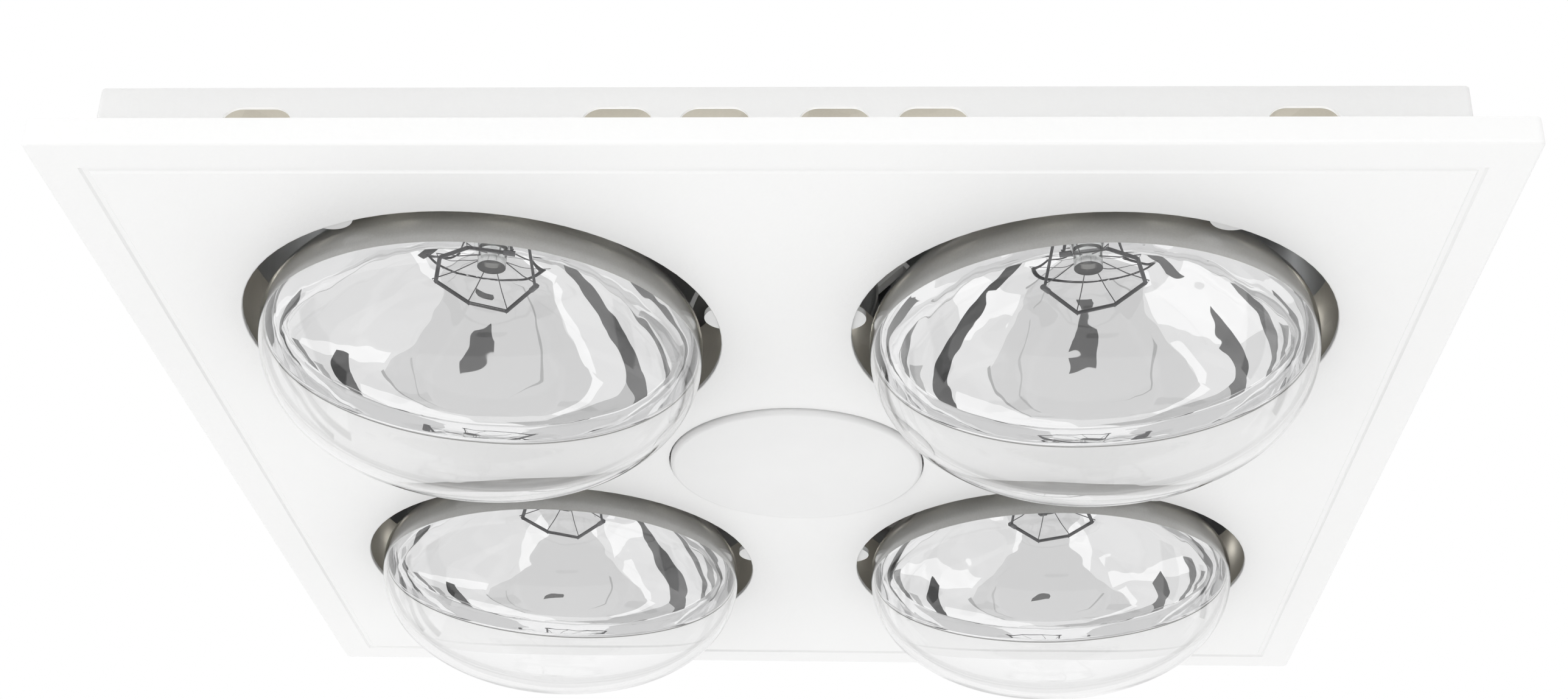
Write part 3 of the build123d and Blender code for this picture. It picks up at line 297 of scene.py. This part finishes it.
def tube(path, radius, sides):  # points and faces of a round wire along a path
    points, faces = [], []
    line = [Vector(p) for p in path]
    along = (line[1] - line[0]).normalized()
    side = along.orthogonal().normalized()
    for i, spot in enumerate(line):
        ahead = (line[min(i + 1, len(line) - 1)] - line[max(i - 1, 0)]).normalized()
        side = (side - ahead * side.dot(ahead)).normalized()
        other = ahead.cross(side)
        for k in range(sides):
            turn = 2 * math.pi * k / sides
            points.append(spot + side * radius * math.cos(turn) + other * radius * math.sin(turn))
    for i in range(len(line) - 1):
        for k in range(sides):
            n = (k + 1) % sides
            faces.append((i * sides + k, i * sides + n, (i + 1) * sides + n, (i + 1) * sides + k))
    faces.append(tuple(range(sides - 1, -1, -1)))  # the two ends
    faces.append(tuple(range((len(line) - 1) * sides, len(line) * sides)))
    return points, faces


def joined(shapes):  # several shapes as one
    points, faces = [], []
    for morePoints, moreFaces in shapes:
        start = len(points)
        points += morePoints
        faces += [tuple(i + start for i in face) for face in moreFaces]
    return points, faces


# The lamps: the bulb follows the solid's outline, with the mirror laid inside its rear half.
lamp = {
    "numbers": (1, 2, 3, 4), "spread": 0.087, "equator": -0.0106, "radius": 0.0632,
    "dome": 0.039, "domeSteps": 8, "fullness": 2.2, "wall": 0.001, "shoulder": 0.109,
    "shoulderShares": [(0.990, 0.041), (0.949, 0.083), (0.791, 0.183), (0.633, 0.266),
                       (0.498, 0.335), (0.396, 0.413), (0.332, 0.514), (0.304, 0.642),
                       (0.294, 0.826), (0.275, 0.936), (0.209, 1.0)],
    "coatLow": -0.0026, "coatHigh": 0.052, "coatGap": 0.0001, "coatThick": 0.0002,
    "finePoints": 220, "around": 160,
}


def skinOutline(inset):  # the bulb's outline, this far inside its outer face
    spots = []
    power = 2 / lamp["fullness"]
    for step in range(lamp["domeSteps"] + 1):
        turn = math.pi / 2 * step / lamp["domeSteps"]
        spots.append(((lamp["radius"] - inset) * math.sin(turn) ** power,
                      -(lamp["dome"] - inset) * math.cos(turn) ** power))
    spots += [(lamp["radius"] * r - inset, lamp["shoulder"] * h) for r, h in lamp["shoulderShares"]]
    return smoothThrough(spots, lamp["finePoints"])


def mirrorOutline(inset):  # the part of that outline that the mirror covers
    return [spot for spot in skinOutline(inset) if lamp["coatLow"] <= spot[1] <= lamp["coatHigh"]]


def bulb(number, centre):
    outline = skinOutline(0) + skinOutline(lamp["wall"])[::-1]
    addMesh(f"lamp_{number}_bulb", turned(outline, centre, lamp["around"]), "lamp_glass",
            f"lamp_{number}", f"lamp_{number}_glass")


def coat(number, centre):  # the mirror, and its dull outer face just behind it
    skin = lamp["wall"]
    for word, finish in (("backing", "mirror_backing"), ("mirror", "lamp_mirror")):
        skin += lamp["coatGap"]
        back = mirrorOutline(skin)
        skin += lamp["coatThick"]
        front = mirrorOutline(skin)
        shape = turned(front[::-1] + back + front[-1:], centre, lamp["around"])
        addMesh(f"lamp_{number}_{word}", shape, "lamp_mirror", f"lamp_{number}",
                f"lamp_{number}_reflector", finish)


# The filament's corners as turn in degrees and radius, from one end of the coil to the other.
# The right lamps have them as written, and the left lamps are their mirror images.
filament = {
    "corners": [(-120, 0.0171), (-79, 0.0184), (-45, 0.0178), (5, 0.0164), (59, 0.0171),
                (95, 0.0199), (159, 0.0134)],
    "height": 0.022, "coil": 0.0005, "wire": 0.00013, "pitch": 0.00034, "coilSteps": 9,
    "wireSides": 5,
}
hook = {"wire": 0.00017, "sides": 6, "bendOut": 0.0012, "bendUp": 0.0008, "sag": 0.0006,
        "tipDown": 0.0007, "tipIn": 0.0008}
button = {"low": 0.026, "thick": 0.005, "radius": 0.0042}  # the glass bead that holds the hooks
lead = {"wire": 0.00045, "sides": 8, "high": 0.058, "reach": 0.005, "kneeOut": 0.002,
        "kneeDown": 0.006}
clamp = {"radius": 0.00085, "length": 0.0034, "share": 0.3, "sides": 10}


def coilAlong(start, end):  # the fine coil of one side of the filament
    along = (end - start).normalized()
    side = along.orthogonal().normalized()
    other = along.cross(side)
    turns = (end - start).length / filament["pitch"]
    steps = int(turns * filament["coilSteps"])
    path = []
    for i in range(steps + 1):
        turn = 2 * math.pi * turns * i / steps
        path.append(start + (end - start) * i / steps
                    + (side * math.cos(turn) + other * math.sin(turn)) * filament["coil"])
    return tube(path, filament["wire"], filament["wireSides"])


def outward(spot, centre):
    return Vector((spot.x - centre.x, spot.y - centre.y, 0)).normalized()


def filamentCage(number, centre, hand):
    corners = []
    for degrees, radius in filament["corners"]:
        turn = math.radians(degrees)
        corners.append(centre + Vector((hand * math.cos(turn), math.sin(turn), 0)) * radius
                       + up * filament["height"])
    shapes = [coilAlong(a, b) for a, b in zip(corners, corners[1:])]
    buttonMiddle = centre + up * (button["low"] + button["thick"] / 2)
    for corner in corners:  # a hook at each corner
        out = outward(corner, centre)
        root = buttonMiddle + out * button["radius"]
        bend = corner + out * hook["bendOut"] + up * hook["bendUp"]
        middle = root.lerp(bend, 0.5) - up * hook["sag"]
        tip = [corner - up * hook["tipDown"], corner - out * hook["tipIn"]]
        shapes.append(tube([root, middle, bend] + tip, hook["wire"], hook["sides"]))
    for corner, inner in ((corners[0], corners[1]), (corners[-1], corners[-2])):
        out = outward(corner, centre)
        root = centre + up * lead["high"] + out * lead["reach"]
        knee = root + out * lead["kneeOut"] - up * lead["kneeDown"]
        shapes.append(tube([root, knee, corner], lead["wire"], lead["sides"]))
        back = (inner - corner).normalized() * clamp["length"]
        ends = [corner - back * clamp["share"], corner + back * (1 - clamp["share"])]
        shapes.append(tube(ends, clamp["radius"], clamp["sides"]))
    addMesh(f"lamp_{number}_cage", joined(shapes), "tungsten", f"lamp_{number}",
            f"lamp_{number}_filament")


for number in lamp["numbers"]:
    low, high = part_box(f"lamp_{number}_glass")
    middle = Vector(((low[0] + high[0]) / 2, (low[1] + high[1]) / 2, lamp["equator"]))
    bulb(number, middle)
    coat(number, middle)
    filamentCage(number, middle, 1 if middle.x > 0 else -1)
print("lamps:", len(lamp["numbers"]))


# Studio: a white ceiling round the frame, a pale floor, and soft light from below on two sides.
studio = {
    "ceiling": 0.0176, "cutOut": 0.35025, "ceilingWidth": 3.0, "floor": -2.3, "floorWidth": 14.0,
    "floorGlow": 0.85, "ceilingGlow": 1.0, "world": 1.03,
}


def flatSheet(name, corners, paint):
    mesh = bpy.data.meshes.new(name)
    mesh.from_pydata(corners, [], [tuple(range(i, i + 4)) for i in range(0, len(corners), 4)])
    mesh.materials.append(paint)
    sheet = bpy.data.objects.new(name, mesh)
    bpy.context.collection.objects.link(sheet)


def seenPart(tree):  # 1 for rays from the camera, off gloss and through glass, and 0 for the rest
    path = tree.nodes.new("ShaderNodeLightPath")
    seen = path.outputs["Is Camera Ray"]
    for name in ("Is Glossy Ray", "Is Transmission Ray"):
        either = tree.nodes.new("ShaderNodeMath")
        either.operation = "MAXIMUM"
        tree.links.new(seen, either.inputs[0])
        tree.links.new(path.outputs[name], either.inputs[1])
        seen = either.outputs[0]
    return seen


def seenWhite(paint, share):  # shows as plain white to the camera, gloss and glass
    seen = Wire(paint, seenPart(paint.tree))
    board = Wire(paint, paint.shader.outputs[0])
    glow = paint.node("Emission", {}, {"Color": (1.0, 1.0, 1.0), "Strength": 1.0})
    return paint.node("MixShader", {}, {0: seen * share, 1: board, 2: glow})


square = ((-1, -1), (1, -1), (1, 1), (-1, 1))
floorPaint = Paint("floorPaper", Base_Color=(0.86, 0.86, 0.86), Roughness=0.9)
floorPaint.feed(floorPaint.output.inputs[0], seenWhite(floorPaint, studio["floorGlow"]))
half = studio["floorWidth"] / 2
flatSheet("floor", [(half * x, half * y, studio["floor"]) for x, y in square],
          floorPaint.material)

ceilingPaint = Paint("ceilingBoard", Base_Color=(0.9, 0.9, 0.9), Roughness=0.9)
clearBack = ceilingPaint.node("BsdfTransparent")  # from above, the ceiling isn't there
facing = ceilingPaint.node("NewGeometry", give="Backfacing")
ceilingPaint.feed(ceilingPaint.output.inputs[0], ceilingPaint.node(
    "MixShader", {}, {0: facing, 1: seenWhite(ceilingPaint, studio["ceilingGlow"]), 2: clearBack}))
inner, outer, level = studio["cutOut"] / 2, studio["ceilingWidth"] / 2, studio["ceiling"]
ring = []
for a, b in zip(square, square[1:] + square[:1]):
    ring += [(inner * a[0], inner * a[1], level), (inner * b[0], inner * b[1], level),
             (outer * b[0], outer * b[1], level), (outer * a[0], outer * a[1], level)]
flatSheet("ceiling", ring, ceilingPaint.material)


def addLight(name, kind, place, watts):  # a light that the camera, mirrors and glass don't show
    light = bpy.data.lights.new(name, kind)
    light.energy = watts
    rig = bpy.data.objects.new(name, light)
    rig.location = place
    rig.visible_camera = rig.visible_glossy = rig.visible_transmission = False
    bpy.context.collection.objects.link(rig)
    return light, rig


def softBox(name, place, aim, size, watts):
    light, rig = addLight(name, "AREA", place, watts)
    light.shape = "RECTANGLE"
    light.size, light.size_y = size
    rig.rotation_euler = (Vector(aim) - Vector(place)).to_track_quat("-Z", "Y").to_euler()


def smallLamp(name, place, watts, size):
    light, rig = addLight(name, "POINT", place, watts)
    light.shadow_soft_size = size


softBoxSize = (2.4, 1.4)
softBoxes = {"frontBox": ((-0.9, -2.2, -0.8), 15), "backBox": ((0.2, 1.9, -1.4), 12)}
for name, (place, watts) in softBoxes.items():
    softBox(name, place, (0, 0, 0), softBoxSize, watts)


# Cards hung round the unit, which only the mirrors and the gloss see. Each one is a strip between
# two edges. An edge's corners are degrees from straight down, to the right and away from the front.
cards = {
    "leftWall": (0.5, [(-60, 0), (-60, -15), (-50, -35), (-40, -50), (-35, -65), (-8, -76)],
                 [(-88, -18), (-86, -30), (-80, -45), (-68, -60), (-52, -72), (-30, -84)]),
    "leftFloor": (1.0, [(-45, -12), (-42, -30), (-32, -50)], [(-52, -12), (-49, -30), (-38, -53)]),
    "rightFloor": (1.0, [(60, -10), (43, -32), (34, -52), (14, -67), (8, -84)],
                   [(80, -28), (75, -45), (64, -62), (45, -76), (20, -86)]),
    "leftRim": (1.0, [(-41, 52), (-42, 30), (-38, 12), (-26, -2)],
                [(-48, 50), (-49, 30), (-45, 14), (-30, -6)]),
    "rightRim": (1.0, [(52, 50), (46, 12), (36, -3)], [(56, 50), (53, 12), (41, -6)]),
    "apron": (0.66, [(-37, -7), (-46, -14), (-43, -30), (-33, -50), (-20, -57), (0, -61)],
              [(37, -7), (43, -12), (40, -30), (33, -50), (20, -57), (0, -61)]),
    "tab": (1.0, [(-36, -2), (-46, -5), (-48, -11)], [(-33, -6), (-40, -8), (-44, -13)]),
    "camera": (0.08, [(-1, -21.6), (-2, -23.2), (-1, -25.4)], [(7, -21.6), (10, -23), (11, -25.4)]),
    "seam": (0.42, [(-26, -13), (-24, -28), (-12, -38)], [(-25, -13), (-23, -28), (-11.2, -38.8)]),
    "fold": (0.5, [(30, -12), (33, -30), (26, -44)], [(30.6, -12), (33.8, -30), (26.8, -44.6)]),
    "hem": (0.4, [(42.4, -10), (40, -30), (33, -49.5)], [(43.6, -10), (41, -30), (33.8, -50.6)]),
    "leftStripe": (0.1, [(-44, 27), (-56, 20), (-64, 10), (-75, 4), (-88, -2)],
                   [(-46, 13), (-54, 8), (-60, -4), (-75, -11), (-87, -20)]),
    "rightStripe": (0.03, [(52, 22), (61, 14), (71, 3), (80, -8), (88, -16)],
                    [(51, 12), (57, 2), (64, -9), (74, -22), (85, -31)]),
    "leftLine": (0.2, [(-41, 58), (-59, 41.5), (-72, 32), (-88, 28)],
                 [(-41, 52), (-59, 36), (-72, 26), (-88, 20)]),
    "leftRail": (0.3, [(-46, 64), (-60, 49), (-75, 45)], [(-46, 59), (-60, 44.5), (-75, 39.5)]),
    "rightLine": (0.2, [(54, 59), (66, 45), (74, 34), (86, 27)],
                  [(54, 52), (62, 41), (71, 29), (86, 20)]),
    "rightHaze": (0.45, [(66, 22), (74, 12), (86, 4)], [(68, 30), (77, 22), (86, 14)]),
}
dome = {"radius": 2.0, "layer": 0.02, "across": 12}  # each later card hangs one layer nearer
surround = {"tone": 0.8, "radius": 2.5, "around": 36, "degrees": range(2, 83, 10)}


def onDome(spot):
    away, turn = math.radians(math.hypot(*spot)), math.atan2(spot[1], spot[0])
    return Vector((math.sin(away) * math.cos(turn), math.sin(away) * math.sin(turn),
                   -math.cos(away)))


def hangCard(name, tone, rows, closed=False):  # rows of points with faces between them
    n = len(rows[0])
    faces = [(i * n + k, i * n + (k + 1) % n, (i + 1) * n + (k + 1) % n, (i + 1) * n + k)
             for i in range(len(rows) - 1) for k in range(n if closed else n - 1)]
    mesh = bpy.data.meshes.new(name + "Card")
    mesh.from_pydata([spot for row in rows for spot in row], [], faces)
    paint = Paint(name + "Card")
    paint.feed(paint.output.inputs[0],
               paint.node("Emission", {}, {"Color": (tone, tone, tone), "Strength": 1.0}))
    mesh.materials.append(paint.material)
    card = bpy.data.objects.new(name + "Card", mesh)
    bpy.context.collection.objects.link(card)
    card.visible_camera = card.visible_diffuse = card.visible_shadow = False


for order, (name, (tone, firstEdge, secondEdge)) in enumerate(cards.items()):
    reach = dome["radius"] - dome["layer"] * order
    shares = [k / dome["across"] for k in range(dome["across"] + 1)]
    hangCard(name, tone, [[onDome((a[0] + (b[0] - a[0]) * s, a[1] + (b[1] - a[1]) * s)) * reach
                           for s in shares] for a, b in zip(firstEdge, secondEdge)])
turns = [2 * math.pi * k / surround["around"] for k in range(surround["around"])]
rows = [[onDome((away * math.cos(turn), away * math.sin(turn))) * surround["radius"]
         for turn in turns] for away in surround["degrees"]]
hangCard("surround", surround["tone"], rows, closed=True)
print("cards:", len(cards))

slotFill = {"line": 0.1645, "height": 0.003, "length": 0.31, "width": 0.01, "watts": 0.035}
for x, y in ((0, -1), (0, 1), (-1, 0), (1, 0)):  # on the shield, which shows in the frame's slots
    spot = Vector((x, y, 0)) * slotFill["line"] + up * slotFill["height"]
    size = (slotFill["length"], slotFill["width"])
    softBox("slotFill", spot, spot + up, size if y else size[::-1], slotFill["watts"])

# The shares go round the bulb from its right side, by the back.
gapFill = {"reach": 0.0665, "height": 0.0085, "size": 0.0015, "watts": 0.0017,
           "shares": (1.0, 1.1, 0.9, 0.9, 1.1, 1.0, 1.3, 2.1, 2.8, 2.8, 2.1, 1.3)}
sides = (-lamp["spread"], lamp["spread"])
for x, y in ((a, b) for a in sides for b in sides):  # in the gap round each bulb
    for k, share in enumerate(gapFill["shares"]):
        turn = 2 * math.pi * (k + 0.5) / len(gapFill["shares"])
        place = (x + gapFill["reach"] * math.cos(turn), y + gapFill["reach"] * math.sin(turn),
                 gapFill["height"])
        smallLamp("gapFill", place, gapFill["watts"] * share, gapFill["size"])
housingFill = {"places": [(-0.145, 0.0, 0.06), (0.145, 0.0, 0.06), (-0.06, 0.02, 0.09),
                          (0.06, 0.02, 0.09)],
               "watts": 0.045, "size": 0.01}
for place in housingFill["places"]:  # inside the housing, which shows past the bulbs
    smallLamp("housingFill", place, housingFill["watts"], housingFill["size"])
print("lights:", len(bpy.data.lights))

world = bpy.data.worlds.new("studio")
bpy.context.scene.world = world
world.use_nodes = True
sky = world.node_tree
background = sky.nodes["Background"]
background.inputs["Color"].default_value = (1, 1, 1, 1)
level = sky.nodes.new("ShaderNodeMapRange")
level.inputs["To Min"].default_value = studio["world"]
level.inputs["To Max"].default_value = 1.0
sky.links.new(seenPart(sky), level.inputs["Value"])
sky.links.new(level.outputs[0], background.inputs["Strength"])

camera = {"place": (0.02741, -0.62777, -0.29735), "turn": (117.8285, -1.4084, 2.2134),
          "lens": 49.27, "sensor": 36, "near": 0.01}
lens = bpy.data.cameras.new("camera")
lens.lens, lens.sensor_width = camera["lens"], camera["sensor"]
lens.clip_start = camera["near"]
viewer = bpy.data.objects.new("camera", lens)
viewer.location = camera["place"]
viewer.rotation_euler = Euler([math.radians(a) for a in camera["turn"]])
bpy.context.collection.objects.link(viewer)
bpy.context.scene.camera = viewer
bpy.context.scene.view_settings.view_transform = "Standard"
print("studio ready")
